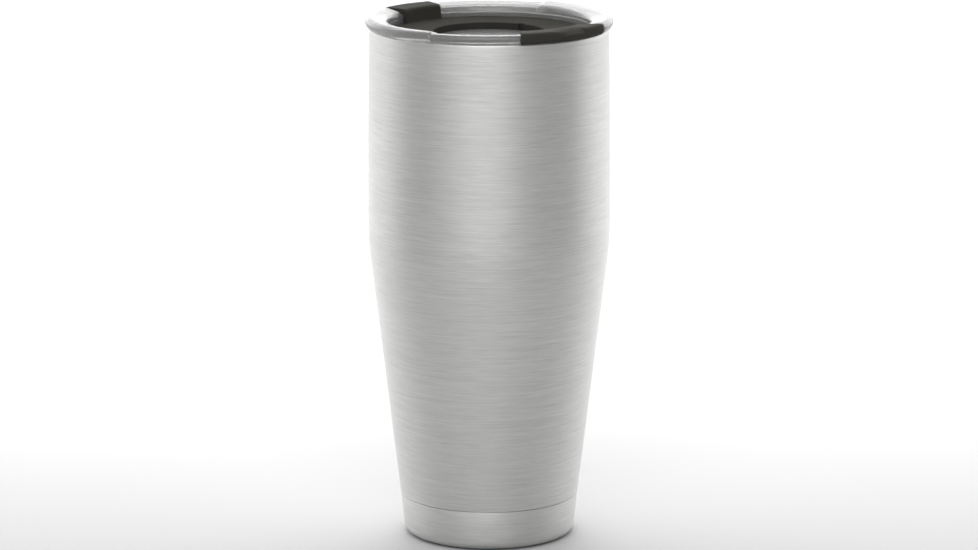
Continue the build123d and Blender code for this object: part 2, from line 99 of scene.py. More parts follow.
# --- rim, deck and hub, in millimetres ------------------------------------------------------------
BEAD_R, BEAD_Z, BEAD = 46.1, RIM_Z + 2.2, 2.4
BEAD_START, BEAD_START_MORE = -58, -8.4      # degrees, in a track and what the full rim adds
CROWN = radians(13)                    # the rim's top falls inwards
CROWN_FILLET = 2.6
TRACK = 1.7                            # the bead's radius where a tab runs
TRACK_SHOULDER = 1.8                   # length round the rim over which a track's end rises
POCKET_R, POCKET_WALL = 39.4, 1.6
POCKET_FLOOR_Z = bottom_of("lid_rim")
CHANNEL_R, CHANNEL_WIDTH, CHANNEL_HEIGHT = 43.8, 1.4, 1.6   # moulding channel, underside
CHANNEL_DRAFT, CHANNEL_FILLET = 0.1, 0.5
DECK_Z, DECK_R, DECK_WALL = top_of("twist_deck"), 39.0, 1.8
DECK_SKIRT_Z, SKIRT_WALL = bottom_of("twist_deck"), 2.4
GROOVE_TOP_Z, GROOVE_LOW_Z, GROOVE_DEPTH = 200.4, 198.8, 1.3
WELL_R, WELL_WALL = 21.8, 1.6
WELL_Z = top_of("twist_hub")
HUB_PLATE, HUB_GAP = 1.0, 0.1
HUB_FLANGE_R, SHAFT_R = 25.4, 5.5
SHAFT_GROOVE_TOP_Z, SHAFT_GROOVE_LOW_Z, SHAFT_GROOVE_R = 195.7, 194.3, 4.4
SCREW_HOLE_R, SCREW_HOLE_DEPTH = 1.5, 8
SLOT_R, SLOT_LENGTH, SLOT_WIDTH, CHIMNEY_WALL = 28.7, 13.0, 6.4, 1.2
CHIMNEY_ROOT = 0.5                     # how far the chimney goes into the deck's plate
KEY_AZIMUTH, KEY_DEPTH, KEY_WIDTH = 104.5, 1.1, 2.6            # notch in the well's wall
MARK_AZIMUTH, MARK_LOW_R, MARK_HIGH_R = 83.4, 25.7, DECK_R - 1.6   # fine radial line on the deck
MARK_WIDTH, MARK_DEPTH = 0.35, 0.25

# --- tabs, in millimetres and degrees -------------------------------------------------------------
TAB_R, TAB_TOP_Z, TAB_INNER_CORNER = 48.8, RIM_Z + 4.65, 1.6
TAB_HEM_R, TAB_HEM_Z, TAB_HEM_RISE = 47.7, RIM_Z + 0.2, 1.1
TAB_WALL_FOOT_R, TAB_WALL_TOP_R = 37.4, 38.1
TAB_ROOT_R, TONGUE = 36.65, 1.0
TAB_FOOT_SINK = 0.02                   # the tab's foot ends this far below the deck's top
TAB_HOLLOW, TAB_HOLLOW_START = 1.85, -56     # inside round the rim: radius, and degrees where it starts
CORNER_REACH = 2.1                     # from the corner to the ends of its rounding, in corner radii
TRAVEL = 42.0                          # degrees that the deck turns
DRINK_TAB = (0.0, 25.8)                # centre and half angle, degrees
THUMB_TAB = (185.3, 14.7)
DRINK_SHAPE = (0.5, 1.5)               # fall of the top towards the deck, rounding of its outer corner
THUMB_SHAPE = (0.35, 2.6)
END_ROUND, END_DROP = 0.9, 0.35        # rounding of the tabs' ends
SCOOP_HALF, SCOOP_SHIFT = 8.5, 0.2     # dish for the lips: half width and offset round the tab
SCOOP_IN, SCOOP_DOWN = 2.6, 1.85       # how far it reaches across the top and down the outside
SCOOP_RIDGE = 0.12                     # share of its half width in which it ends on the steep side
END_TAPER = 0.16                       # the drinking tab narrows by this share towards the deck
TRACK_SLACK = 0.6
THUMB_TRACK_START = 111.5              # its track is longer than the travel needs, as in the photo
TRACKS = (
    (-DRINK_TAB[1] - TRAVEL - TRACK_SLACK, DRINK_TAB[1] + TRACK_SLACK),
    (THUMB_TRACK_START, THUMB_TAB[0] + THUMB_TAB[1] + TRACK_SLACK),
)

# --- valve spring, in millimetres -----------------------------------------------------------------
SPRING_WIRE, SPRING_R, SPRING_TURNS = 0.45, 10.2, 4.6      # radius of the wire and of the coil
SPRING_FLAT_TURNS = 0.8                # turns that lie flat, half of them at each end
SPRING_SIDES, SPRING_STEPS = 12, 360

# --- camera, light and floor, in metres and degrees -----------------------------------------------
CAMERA_AZIMUTH = radians(50)
CAMERA_OUT, CAMERA_UP = 1.5685, 0.4415
CAMERA_PITCH = radians(90 - 12.137)
SENSOR, FOCAL = 36.0, 148.99
SENSOR_SHIFT = -0.00015
# Brightness of the surround at angles from the camera's direction, positive to its right.
SURROUND = (
    (-180, 1.0), (-128, 0.95), (-100, 0.55), (-80, 0.22), (-58, 0.2), (-36, 0.57), (-12, 0.75),
    (12, 0.6), (34, 0.25), (58, 0.14), (84, 0.18), (104, 0.4), (124, 0.95), (180, 1.0),
)
SURROUND_STRENGTH = 2.1
# The floor's camera-side tone is painted shade, which the steel reflects as shade; FLOOR_BACK is the pale
# floor.
FLOOR_FRONT_SHADE, FLOOR_BACK = (0.43, 0.43, 0.43), (0.68, 0.68, 0.68)
FLOOR_FADE = (-0.1, 0.3)               # from the object, away from the camera: where the tone changes
FLOOR_REACH, FLOOR_STEPS = 9000, 24    # half its side in millimetres, and its squares along a side


# --- mesh helpers ---------------------------------------------------------------------------------
def object_from(name, verts, faces, sharp=SHARP):
    """New object from millimetre vertices, smooth shaded with edges sharper than the angle kept."""
    mesh = bpy.data.meshes.new(name)
    mesh.from_pydata([Vector(vert) * MM for vert in verts], [], faces)
    mesh.validate()
    bm = bmesh.new()
    bm.from_mesh(mesh)
    bmesh.ops.remove_doubles(bm, verts=bm.verts, dist=MERGE * MM)
    bmesh.ops.recalc_face_normals(bm, faces=bm.faces)
    bm.to_mesh(mesh)
    bm.free()
    mesh.shade_smooth()
    mesh.set_sharp_from_angle(angle=radians(sharp))
    obj = bpy.data.objects.new(name, mesh)
    bpy.context.scene.collection.objects.link(obj)
    return obj


def arc(centre, radius, start, end, steps):
    """Points on an arc, angles in degrees."""
    turns = [radians(start + (end - start) * i / steps) for i in range(steps + 1)]
    return [(centre[0] + radius * cos(t), centre[1] + radius * sin(t)) for t in turns]


def rounded(corners, steps=5):
    """Closed outline from (r, z, fillet) corners, each rounded by about its fillet radius.

    A rounding takes less than half of the sides next to it, and no fillet leaves the corner as it is."""
    most = 0.49
    points = []
    count = len(corners)
    for i, (r, z, fillet) in enumerate(corners):
        here = Vector((r, z))
        before = Vector(corners[i - 1][:2]) - here
        after = Vector(corners[(i + 1) % count][:2]) - here
        if fillet <= 0:
            points.append((r, z))
            continue
        half = before.angle(after) / 2
        reach = min(fillet / tan(half), most * before.length, most * after.length)
        start, end = here + before.normalized() * reach, here + after.normalized() * reach
        for k in range(steps + 1):
            share = k / steps
            blend = (1 - share) ** 2 * start + 2 * share * (1 - share) * here + share ** 2 * end
            points.append((blend.x, blend.y))
    return points


def turned(name, outline, sharp=SHARP):
    """Turn a closed outline of (r, z) points about Z."""
    verts, faces = [], []
    count = len(outline)
    for s in range(ROUND):
        a = 2 * pi * s / ROUND
        verts += [(r * cos(a), r * sin(a), z) for r, z in outline]
    for s in range(ROUND):
        here, there = s * count, ((s + 1) % ROUND) * count
        for i in range(count):
            j = (i + 1) % count
            faces.append((here + i, there + i, there + j, here + j))
    return object_from(name, verts, faces, sharp)


def swept(name, section_at, first, last, steps, capped=True, sharp=SHARP):
    """Sweep a closed section, given at each azimuth in degrees, from first to last.

    Every section has the same number of points.  Without caps the sweep is a full turn."""
    verts, faces = [], []
    rows = steps + 1 if capped else steps
    for s in range(rows):
        azimuth = first + (last - first) * s / steps
        a = radians(azimuth)
        section = section_at(azimuth)
        verts += [(r * cos(a), r * sin(a), z) for r, z in section]
    count = len(section)
    for s in range(steps):
        here, there = s * count, ((s + 1) % rows) * count
        for i in range(count):
            j = (i + 1) % count
            faces.append((here + i, there + i, there + j, here + j))
    if capped:
        faces.append(tuple(range(count)))
        faces.append(tuple(range(steps * count + count - 1, steps * count - 1, -1)))
    return object_from(name, verts, faces, sharp)


# --- material helpers -----------------------------------------------------------------------------
def material(name):
    """New material: returns it with its node tree and Principled shader."""
    made = bpy.data.materials.new(name)
    made.use_nodes = True
    return made, made.node_tree, made.node_tree.nodes["Principled BSDF"]


def node(tree, kind, **settings):
    """New shader node with its settings."""
    made = tree.nodes.new(kind)
    for key, value in settings.items():
        setattr(made, key, value)
    return made


def noise(tree, vector, scale, detail=3.0, roughness=0.5):
    """Noise from 0 to 1 over a vector."""
    made = node(tree, "ShaderNodeTexNoise")
    made.inputs["Scale"].default_value = scale
    made.inputs["Detail"].default_value = detail
    made.inputs["Roughness"].default_value = roughness
    tree.links.new(vector, made.inputs["Vector"])
    return made.outputs["Fac"]


def mapped(tree, scale=(1, 1, 1)):
    """Object coordinates stretched by a scale on each axis."""
    coordinates = node(tree, "ShaderNodeTexCoord")
    mapping = node(tree, "ShaderNodeMapping")
    mapping.inputs["Scale"].default_value = scale
    tree.links.new(coordinates.outputs["Object"], mapping.inputs["Vector"])
    return mapping.outputs["Vector"]


def ramp(tree, value, low, high, from_min=0.3, from_max=0.7):
    """Map a value onto a range, clamped."""
    made = node(tree, "ShaderNodeMapRange")
    made.inputs["From Min"].default_value = from_min
    made.inputs["From Max"].default_value = from_max
    made.inputs["To Min"].default_value = low
    made.inputs["To Max"].default_value = high
    tree.links.new(value, made.inputs["Value"])
    return made.outputs["Result"]


def colour_mix(tree, value, low, high):
    """Colour between low and high by a value from 0 to 1."""
    made = node(tree, "ShaderNodeMix", data_type="RGBA")
    made.inputs["A"].default_value = (*low, 1)
    made.inputs["B"].default_value = (*high, 1)
    tree.links.new(value, made.inputs["Factor"])
    return made.outputs["Result"]


def bump(tree, shader, height, strength, distance):
    """Relief on a shader from a height value; distance in metres."""
    made = node(tree, "ShaderNodeBump")
    made.inputs["Strength"].default_value = strength
    made.inputs["Distance"].default_value = distance
    tree.links.new(height, made.inputs["Height"])
    tree.links.new(made.outputs["Normal"], shader.inputs["Normal"])


def added(tree, first, second, weight):
    """first + second * weight."""
    made = node(tree, "ShaderNodeMath", operation="MULTIPLY_ADD")
    tree.links.new(second, made.inputs[0])
    made.inputs[1].default_value = weight
    tree.links.new(first, made.inputs[2])
    return made.outputs[0]


# --- materials ------------------------------------------------------------------------------------
FINE_GRAIN, LONG_GRAIN, CLOUD = (110, 110, 6200), (36, 36, 2400), (18, 18, 18)


def brushed_steel(name, light, dark, roughness, grain=1.0):
    """Steel with fine horizontal grain: streaks long round the cup and thin up it."""
    made, tree, shader = material(name)
    fine = noise(tree, mapped(tree, FINE_GRAIN), 1.0, 2.0, 0.6)
    long = noise(tree, mapped(tree, LONG_GRAIN), 1.0, 3.0, 0.6)
    cloud = noise(tree, mapped(tree, CLOUD), 1.0, 2.0)
    streak = added(tree, fine, long, 0.8)
    tone = ramp(tree, streak, 0.0, 1.0, 0.62, 1.18)
    tree.links.new(colour_mix(tree, tone, dark, light), shader.inputs["Base Color"])
    shade = added(tree, ramp(tree, streak, roughness - 0.05, roughness + 0.06, 0.6, 1.2), cloud, 0.03)
    tree.links.new(shade, shader.inputs["Roughness"])
    shader.inputs["Metallic"].default_value = 1.0
    shader.inputs["Anisotropic"].default_value = 0.6
    shader.inputs["Anisotropic Rotation"].default_value = 0.25
    tangent = node(tree, "ShaderNodeTangent", direction_type="RADIAL", axis="Z")
    tree.links.new(tangent.outputs["Tangent"], shader.inputs["Tangent"])
    bump(tree, shader, streak, 0.16 * grain, 0.00012)
    return made


def clear_plastic(name, tint, roughness, clarity):
    """Slightly hazy copolyester, with the faint waviness of a moulded surface."""
    made, tree, shader = material(name)
    shader.inputs["Base Color"].default_value = (*tint, 1)
    shader.inputs["Transmission Weight"].default_value = clarity
    shader.inputs["IOR"].default_value = 1.5
    wave = noise(tree, mapped(tree, (90, 90, 90)), 1.0, 2.0)
    tree.links.new(ramp(tree, wave, roughness, roughness + 0.05), shader.inputs["Roughness"])
    bump(tree, shader, wave, 0.05, 0.0004)
    return made


def moulded_plastic(name, colour, roughness, texture, gloss=0.5):
    """Moulded plastic with spark-eroded grain."""
    made, tree, shader = material(name)
    shader.inputs["Specular IOR Level"].default_value = gloss
    grain = noise(tree, mapped(tree), 2400.0, 4.0, 0.7)
    patch = noise(tree, mapped(tree), 60.0, 3.0)
    lighter = tuple(c * 1.25 for c in colour)
    tree.links.new(colour_mix(tree, ramp(tree, patch, 0, 1), colour, lighter), shader.inputs["Base Color"])
    tree.links.new(ramp(tree, patch, roughness - 0.05, roughness + 0.06), shader.inputs["Roughness"])
    bump(tree, shader, grain, texture, 0.00006)
    return made


def silicone(name, colour, roughness, clear=0.0):
    """Silicone rubber: satin, slightly cloudy."""
    made, tree, shader = material(name)
    cloud = noise(tree, mapped(tree), 140.0, 3.0)
    lighter = tuple(min(1.0, c * 1.15) for c in colour)
    tree.links.new(colour_mix(tree, ramp(tree, cloud, 0, 1), colour, lighter), shader.inputs["Base Color"])
    tree.links.new(ramp(tree, cloud, roughness - 0.04, roughness + 0.06), shader.inputs["Roughness"])
    shader.inputs["Transmission Weight"].default_value = clear
    shader.inputs["IOR"].default_value = 1.42
    bump(tree, shader, cloud, 0.08, 0.0002)
    return made


def crinkled_foil(name, colour):
    """Thin metal foil with small creases, their lines darkened with painted shade."""
    made, tree, shader = material(name)
    crease = node(tree, "ShaderNodeTexVoronoi", feature="DISTANCE_TO_EDGE")
    crease.inputs["Scale"].default_value = 160.0
    tree.links.new(mapped(tree), crease.inputs["Vector"])
    # Painted shade: the colour darkens towards the crease lines.
    tone = ramp(tree, crease.outputs["Distance"], 0, 1, 0.0, 0.3)
    crease_shade = tuple(c * 0.7 for c in colour)
    tree.links.new(colour_mix(tree, tone, crease_shade, colour), shader.inputs["Base Color"])
    shader.inputs["Metallic"].default_value = 1.0
    shader.inputs["Roughness"].default_value = 0.25
    bump(tree, shader, crease.outputs["Distance"], 0.5, 0.0004)
    return made


STEEL = brushed_steel("brushed_shell", light=(0.68, 0.68, 0.67), dark=(0.52, 0.52, 0.51), roughness=0.34)
LINER_STEEL = brushed_steel("liner_steel", light=(0.66, 0.66, 0.65), dark=(0.58, 0.58, 0.57),
                            roughness=0.28, grain=0.5)
CLEAR = clear_plastic("clear_plastic", tint=(0.53, 0.53, 0.525), roughness=0.14, clarity=0.76)
DARK = moulded_plastic("dark_plastic", (0.030, 0.029, 0.026), roughness=0.8, texture=0.35, gloss=0.03)
SOFT_TAB = moulded_plastic("soft_tab", (0.031, 0.030, 0.026), roughness=0.7, texture=0.25, gloss=0.06)
VALVE = moulded_plastic("valve_plastic", (0.42, 0.42, 0.41), roughness=0.45, texture=0.2)
GETTER = moulded_plastic("getter_metal", (0.16, 0.16, 0.17), roughness=0.7, texture=0.6)
CLEAR_SILICONE = silicone("clear_silicone", (0.62, 0.63, 0.62), roughness=0.4, clear=0.4)
GREY_SILICONE = silicone("grey_silicone", (0.06, 0.06, 0.06), roughness=0.55)
SEAL_GLASS = silicone("seal_glass", (0.20, 0.21, 0.22), roughness=0.15, clear=0.3)
FOIL = crinkled_foil("copper_foil", (0.85, 0.48, 0.32))


def finish_piece(obj, mat, body, node_name):
    """Give a piece its material and its body, and hide the CAD node that it stands for."""
    obj.data.materials.clear()
    obj.data.materials.append(mat)
    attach(obj, body)
    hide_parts(node_name)


# --- camera, lights and floor ---------------------------------------------------------------------
def add_camera():
    """The photo's camera, with the lens and place that its perspective gives."""
    data = bpy.data.cameras.new("camera")
    data.sensor_width = SENSOR
    data.lens = FOCAL
    data.shift_x = SENSOR_SHIFT
    data.clip_start = 0.05
    camera = bpy.data.objects.new("camera", data)
    camera.location = (CAMERA_OUT * sin(CAMERA_AZIMUTH), -CAMERA_OUT * cos(CAMERA_AZIMUTH), CAMERA_UP)
    camera.rotation_euler = (CAMERA_PITCH, 0, CAMERA_AZIMUTH)
    bpy.context.scene.collection.objects.link(camera)
    bpy.context.scene.camera = camera


def around(azimuth_deg, distance, height):
    """Point round the object; azimuth 0 is towards the camera, positive to its right."""
    a = CAMERA_AZIMUTH - pi / 2 + radians(azimuth_deg)
    return Vector((distance * cos(a), distance * sin(a), height))


def add_softbox(name, azimuth_deg, distance, height, size, power, spread_deg, aim):
    """Rectangular area light, round the object from the camera's direction."""
    data = bpy.data.lights.new(name, "AREA")
    data.spread = radians(spread_deg)
    data.shape = "RECTANGLE"
    data.size, data.size_y = size
    data.energy = power
    light = bpy.data.objects.new(name, data)
    light.location = around(azimuth_deg, distance, height)
    light.rotation_euler = (Vector(aim) - light.location).to_track_quat("-Z", "Y").to_euler()
    bpy.context.scene.collection.objects.link(light)


def add_world():
    """Soft studio surround: bright behind the object and in front of it, dimmer to its sides.

    SURROUND's middle, at 0 degrees, is turned to the camera."""
    world = bpy.data.worlds.new("studio")
    world.use_nodes = True
    tree = world.node_tree
    background = tree.nodes["Background"]
    direction = node(tree, "ShaderNodeTexCoord")
    parts = node(tree, "ShaderNodeSeparateXYZ")
    tree.links.new(direction.outputs["Generated"], parts.inputs[0])
    azimuth = node(tree, "ShaderNodeMath", operation="ARCTAN2")
    tree.links.new(parts.outputs["Y"], azimuth.inputs[0])
    tree.links.new(parts.outputs["X"], azimuth.inputs[1])
    turn = node(tree, "ShaderNodeMapRange", clamp=False)
    turn.inputs["From Min"].default_value = -pi
    turn.inputs["From Max"].default_value = pi
    tree.links.new(azimuth.outputs[0], turn.inputs["Value"])
    shift = node(tree, "ShaderNodeMath", operation="SUBTRACT")
    shift.inputs[1].default_value = (CAMERA_AZIMUTH - pi / 2) / (2 * pi)
    tree.links.new(turn.outputs["Result"], shift.inputs[0])
    wrap = node(tree, "ShaderNodeMath", operation="FRACT")
    tree.links.new(shift.outputs[0], wrap.inputs[0])
    bands = node(tree, "ShaderNodeValToRGB")
    while len(bands.color_ramp.elements) < len(SURROUND):
        bands.color_ramp.elements.new(0.5)
    bands.color_ramp.interpolation = "B_SPLINE"
    for element, (azimuth_deg, level) in zip(bands.color_ramp.elements, SURROUND):
        element.position = azimuth_deg / 360 + 0.5
        element.color = (level, level, level, 1)
    tree.links.new(wrap.outputs[0], bands.inputs["Fac"])
    tree.links.new(bands.outputs["Color"], background.inputs["Color"])
    background.inputs["Strength"].default_value = SURROUND_STRENGTH
    bpy.context.scene.world = world


def add_floor():
    """Pale floor with painted shade: a little deeper in tone on the camera's side, so that the steel
    reflects it as shade.
    """
    ticks = [-FLOOR_REACH + 2 * FLOOR_REACH * i / FLOOR_STEPS for i in range(FLOOR_STEPS + 1)]
    verts = [(x, y, 0.0) for x in ticks for y in ticks]
    faces = []
    row = FLOOR_STEPS + 1
    for i in range(FLOOR_STEPS):
        for j in range(FLOOR_STEPS):
            corner = i * row + j
            faces.append((corner, corner + row, corner + row + 1, corner + 1))
    floor = object_from("floor", verts, faces)
    made, tree, shader = material("floor")
    backwards = around(180, 1, 0)
    away = node(tree, "ShaderNodeVectorMath", operation="DOT_PRODUCT")
    away.inputs[1].default_value = backwards
    tree.links.new(mapped(tree), away.inputs[0])
    # Painted shade on the floor: the deeper tone on the camera's side gives way to the pale tone away from
    # it.
    shade_fade = ramp(tree, away.outputs["Value"], 0, 1, *FLOOR_FADE)
    tree.links.new(colour_mix(tree, shade_fade, FLOOR_FRONT_SHADE, FLOOR_BACK), shader.inputs["Base Color"])
    shader.inputs["Roughness"].default_value = 0.7
    floor.data.materials.append(made)


add_camera()
add_world()
add_floor()
add_softbox("back", azimuth_deg=180, distance=1.3, height=1.9, size=(1.0, 1.0), power=3.5,
            spread_deg=60, aim=around(180, 0.8, 0))
add_softbox("front", azimuth_deg=0, distance=1.1, height=0.95, size=(0.9, 0.6), power=1.6,
            spread_deg=120, aim=(0, 0, 0.05))
bpy.context.scene.view_settings.view_transform = "Standard"


# --- steel cup ------------------------------------------------------------------------------------
def cup_radius(z):
    """Radius of the cup's flowing outline at a height."""
    if z <= TAPER_TOP_Z:
        return SEAM_R + TAPER * (z - SEAM_Z)
    if z >= WIDEST_Z:
        return RIM_R + (WIDEST_R - RIM_R) * (1 - ((z - WIDEST_Z) / (RIM_Z - WIDEST_Z)) ** 2)
    span = WIDEST_Z - TAPER_TOP_Z
    t = (z - TAPER_TOP_Z) / span
    rise = WIDEST_R - TAPER_TOP_R
    start = TAPER * span
    return TAPER_TOP_R + start * (t ** 3 - 2 * t ** 2 + t) + rise * (3 * t ** 2 - 2 * t ** 3)


def heights(low, high, step):
    """Heights from low to high, no further apart than step."""
    count = max(1, ceil((high - low) / step))
    return [low + (high - low) * i / count for i in range(count + 1)]


def build_shell():
    """Outer wall: outside, rolled lip, inside, and the sleeve that goes into the base cup."""
    edge = SEAM_Z + SEAM_GAP
    seen = heights(edge + SHELL_EDGE[1], RIM_Z - LIP_DEPTH, OUTLINE_STEP)
    hidden = heights(SEAM_Z + SLEEVE_JOIN, RIM_Z - LIP_JOIN, HIDDEN_STEP)
    outside = [(cup_radius(z), z) for z in seen]
    lip = arc((RIM_R - LIP_ROUND, RIM_Z - LIP_ROUND), LIP_ROUND, LIP_START, 90, 5)
    lip += [(LIP_INNER_R, RIM_Z), (LIP_INNER_R, RIM_Z - LIP_FOLD)]
    inside = [(cup_radius(z) - SHELL_WALL, z) for z in reversed(hidden)]
    sleeve = [
        (SLEEVE_R - SHELL_WALL, SEAM_Z + SHELL_WALL),
        (SLEEVE_R - SLEEVE_LEAN - SHELL_WALL, SLEEVE_LOW_Z),
        (SLEEVE_R - SLEEVE_LEAN, SLEEVE_LOW_Z),
        (SLEEVE_R, edge),
        (SEAM_R - SHELL_EDGE[0], edge),
    ]
    shell = turned("shell", outside + lip + inside + sleeve, sharp=35)
    finish_piece(shell, STEEL, "cup", "outer_shell")


def build_base_cup():
    """Cap below the seam, with a seat for the foot pad."""
    top = SEAM_Z - SEAM_GAP
    fillet_r = BASE_R - BASE_FILLET
    outline = [(SEAM_R - inwards, top - down) for inwards, down in CAP_EDGE]
    outline += arc((fillet_r, BASE_LOW_Z + BASE_FILLET), BASE_FILLET, 0, -90, 10)
    outline += rounded([
        (PAD_R, BASE_LOW_Z, 0.2), (PAD_R, PAD_SEAT_Z, 0),
        (PAD_R + BASE_WALL, PAD_SEAT_Z + BASE_WALL, 0), (PAD_R + BASE_WALL, BASE_LOW_Z + BASE_WALL, 0),
        (fillet_r, BASE_LOW_Z + BASE_WALL, 0), (BASE_R - BASE_WALL, BASE_LOW_Z + BASE_FILLET, 0),
        (SLEEVE_R - SLEEVE_LEAN, BASE_INNER_Z, 0), (SLEEVE_R, top, 0),
    ])
    cup = turned("base_cap", outline)
    finish_piece(cup, STEEL, "cup", "base_cup")


def build_liner():
    """Inner wall that holds the drink, flared to the land that the gasket seals against."""
    slope_low = LINER_FLOOR_Z + LINER_FILLET
    inset = WIDEST_R - LINER_R
    inside = [(AXIS_R, LINER_FLOOR_Z)]
    inside += arc((cup_radius(slope_low) - inset - LINER_FILLET, slope_low), LINER_FILLET, -90, 0, 10)
    inside += [(cup_radius(z) - inset, z) for z in heights(slope_low + 2, WIDEST_Z, HIDDEN_STEP)]
    inside += [(LINER_R + out, LAND_Z - down) for out, down in LAND_FLARE]
    inside += [(LAND_R, LAND_Z), (MOUTH_R, RIM_Z - MOUTH_EDGE[1]), (MOUTH_R + MOUTH_EDGE[0], RIM_Z)]
    floor_top = LINER_FLOOR_Z + 4
    outside = [(r + LINER_WALL, z - (LINER_WALL if z < floor_top else 0)) for r, z in inside[1:]]
    outline = inside + outside[::-1] + [(AXIS_R, LINER_FLOOR_Z - LINER_WALL)]
    liner = turned("liner", outline, sharp=50)
    finish_piece(liner, LINER_STEEL, "cup", "inner_liner")


def build_foot_pad():
    """Silicone disc that the tumbler stands on."""
    low, top, outer_r = bottom_of("foot_pad"), PAD_SEAT_Z - PAD_GAP, PAD_R - PAD_GAP
    pad = turned("pad", rounded([
        (AXIS_R, low, 0), (PAD_R / 2, low, 0), (outer_r, low, PAD_ROUND),
        (outer_r, top, 0), (AXIS_R, top, 0),
    ]))
    finish_piece(pad, GREY_SILICONE, "cup", "foot_pad")


build_shell()
build_base_cup()
build_liner()
build_foot_pad()


# --- clear rim, deck, hub and tabs ----------------------------------------------------------------
def crowned(size, start, steps=20):
    """Bead of a radius about the rim's bead centre, from start to where the crown's slope leaves it."""
    return [(r, z, 0) for r, z in arc((BEAD_R, BEAD_Z), size, start, 90 + degrees(CROWN), steps)]


def crown_at(bead, foot_r):
    """Point where the crown's slope, carried on from the end of the bead, reaches foot_r."""
    brow_r, brow_z = bead[-1][:2]
    return (foot_r, brow_z - (brow_r - foot_r) * tan(CROWN))


def degrees_inside(azimuth, first, last):
    """Degrees inside the span from first to last, negative outside."""
    middle, half = (first + last) / 2, (last - first) / 2
    away = (azimuth - middle + 180) % 360 - 180
    return half - abs(away)


def track_share(azimuth):
    """1 on the full rim, 0 in a track, with a rounded shoulder between."""
    share = 1.0
    for first, last in TRACKS:
        past = -degrees_inside(azimuth, first, last) * radians(1) * BEAD_R / TRACK_SHOULDER
        if past < 1:
            past = max(0.0, past)
            share = min(share, sqrt(1 - (1 - past) ** 2))
    return share


def rim_section(azimuth):
    """Section of the clear rim: bead, crown, the deck's pocket and the moulding channel."""
    share = track_share(azimuth)
    bead = crowned(TRACK + (BEAD - TRACK) * share, BEAD_START + BEAD_START_MORE * share)
    outer_r = POCKET_R + POCKET_WALL
    channel_top = RIM_Z + CHANNEL_HEIGHT
    channel_high_r = CHANNEL_R + CHANNEL_WIDTH
    return rounded(bead + [
        (*crown_at(bead, POCKET_R), CROWN_FILLET), (POCKET_R, POCKET_FLOOR_Z, 0.2),
        (outer_r, POCKET_FLOOR_Z, 0.2), (outer_r, RIM_Z, 0.1),
        (CHANNEL_R, RIM_Z, 0.1), (CHANNEL_R + CHANNEL_DRAFT, channel_top, CHANNEL_FILLET),
        (channel_high_r - CHANNEL_DRAFT, channel_top, CHANNEL_FILLET), (channel_high_r, RIM_Z, 0.1),
        (bead[0][0], RIM_Z, 0),
    ])


def build_rim():
    """Clear rim with its two tracks."""
    rim = swept("rim", rim_section, 0, 360, 1080, capped=False, sharp=50)
    finish_piece(rim, CLEAR, "lid", "lid_rim")


def prism(name, outline, low, high):
    """Straight prism over a closed outline of (x, y) points; used to cut and to join."""
    count = len(outline)
    verts = [(x, y, low) for x, y in outline] + [(x, y, high) for x, y in outline]
    faces = [tuple(range(count))[::-1], tuple(range(count, 2 * count))]
    faces += [(i, (i + 1) % count, count + (i + 1) % count, count + i) for i in range(count)]
    return object_from(name, verts, faces)


def combine(obj, other, operation):
    """Join or cut obj with other, which is used up."""
    modifier = obj.modifiers.new("combine", "BOOLEAN")
    modifier.object = other
    modifier.operation = operation
    modifier.solver = "EXACT"
    graph = bpy.context.evaluated_depsgraph_get()
    mesh = bpy.data.meshes.new_from_object(obj.evaluated_get(graph))
    obj.modifiers.clear()
    obj.data = mesh
    mesh.shade_smooth()
    mesh.set_sharp_from_angle(angle=radians(SHARP))
    bpy.data.objects.remove(other)


def stadium(centre_r, length, width, steps=16):
    """Outline of a slot whose long side lies across +X at centre_r."""
    half, end_r = (length - width) / 2, width / 2
    return arc((centre_r, half), end_r, 0, 180, steps) + arc((centre_r, -half), end_r, 180, 360, steps)


def radial_box(azimuth, low_r, high_r, width):
    """Outline of a box that lies along a radius."""
    a = radians(azimuth)
    corners = [(low_r, -width / 2), (high_r, -width / 2), (high_r, width / 2), (low_r, width / 2)]
    return [(r * cos(a) - t * sin(a), r * sin(a) + t * cos(a)) for r, t in corners]


def cut(obj, outline, low, high):
    """Cut a straight prism out of obj."""
    combine(obj, prism("cutter", outline, low, high), "DIFFERENCE")


def build_deck():
    """Dark deck with its well, drinking slot and chimney, key notch and radial line."""
    under = DECK_Z - DECK_WALL
    well_floor = WELL_Z - HUB_PLATE
    groove_r, skirt_r, well_outer_r = DECK_R - GROOVE_DEPTH, DECK_R - SKIRT_WALL, WELL_R + WELL_WALL
    deck = turned("deck", rounded([
        (WELL_R, DECK_Z, 0.35), (DECK_R, DECK_Z, 0.3), (DECK_R, GROOVE_TOP_Z, 0.1),
        (groove_r, GROOVE_TOP_Z, 0.2), (groove_r, GROOVE_LOW_Z, 0.2), (DECK_R, GROOVE_LOW_Z, 0.1),
        (DECK_R, DECK_SKIRT_Z, 0.2), (skirt_r, DECK_SKIRT_Z, 0.2), (skirt_r, under, 0.3),
        (well_outer_r, under, 0.3), (well_outer_r, well_floor, 0.1), (WELL_R, well_floor, 0),
    ]))
    chimney = stadium(SLOT_R, SLOT_LENGTH + 2 * CHIMNEY_WALL, SLOT_WIDTH + 2 * CHIMNEY_WALL)
    combine(deck, prism("chimney", chimney, well_floor, under + CHIMNEY_ROOT), "UNION")
    slot = stadium(SLOT_R, SLOT_LENGTH, SLOT_WIDTH)
    key = radial_box(KEY_AZIMUTH, WELL_R - PAST, WELL_R + KEY_DEPTH, KEY_WIDTH)
    mark = radial_box(MARK_AZIMUTH, MARK_LOW_R, MARK_HIGH_R, MARK_WIDTH)
    cut(deck, slot, DECK_SKIRT_Z - PAST, DECK_Z + PAST)
    cut(deck, key, well_floor - PAST, DECK_Z + PAST)
    cut(deck, mark, DECK_Z - MARK_DEPTH, DECK_Z + PAST)
    finish_piece(deck, DARK, "twist", "twist_deck")


